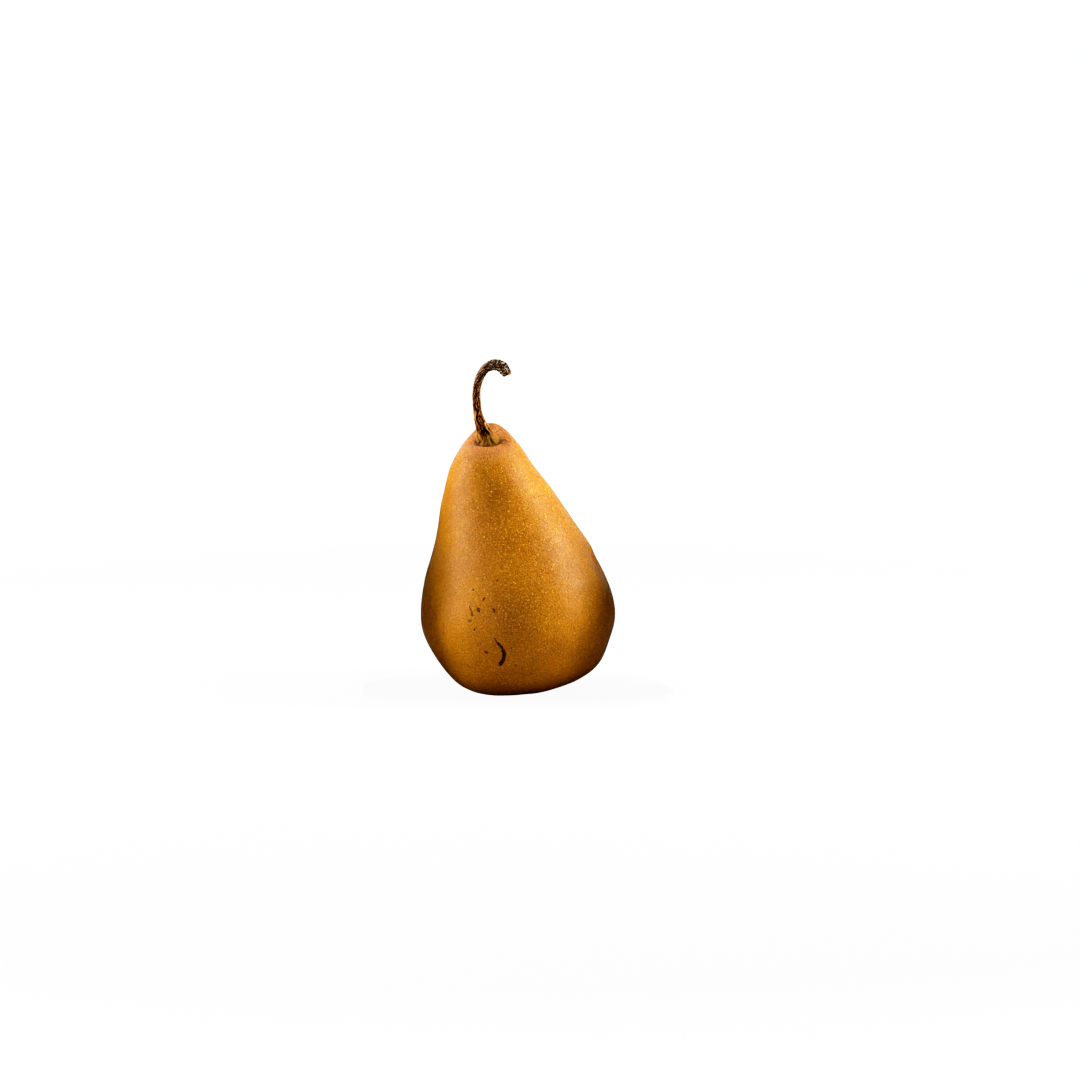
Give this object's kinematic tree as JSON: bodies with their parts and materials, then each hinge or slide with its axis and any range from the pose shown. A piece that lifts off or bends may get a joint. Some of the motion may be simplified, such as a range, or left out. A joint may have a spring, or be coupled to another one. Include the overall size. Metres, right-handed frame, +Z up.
{
  "type": "pear",
  "caption": "Whole russet pear with a leaning neck and a hooked woody stem, resting on a small flat spot beside its dried calyx.",
  "frame": {"origin": "on the surface the pear rests on, under the middle of its bounding box", "axes": "+Z up, towards the stem; -Y towards the front, which the picture shows; the neck leans towards -X and -Y"},
  "size_m": [0.0702, 0.07, 0.1193],
  "materials": {
    "skin": "satin golden-brown russet skin with pale lenticels",
    "stem_wood": "dry wrinkled bark, darker and greyer at the tip",
    "dried_sepal": "dry, papery, dark brown"
  },
  "bodies": {
    "root": {"fruit": "skin", "stem": "stem_wood", "calyx": "dried_sepal"}
  },
  "joints": []
}
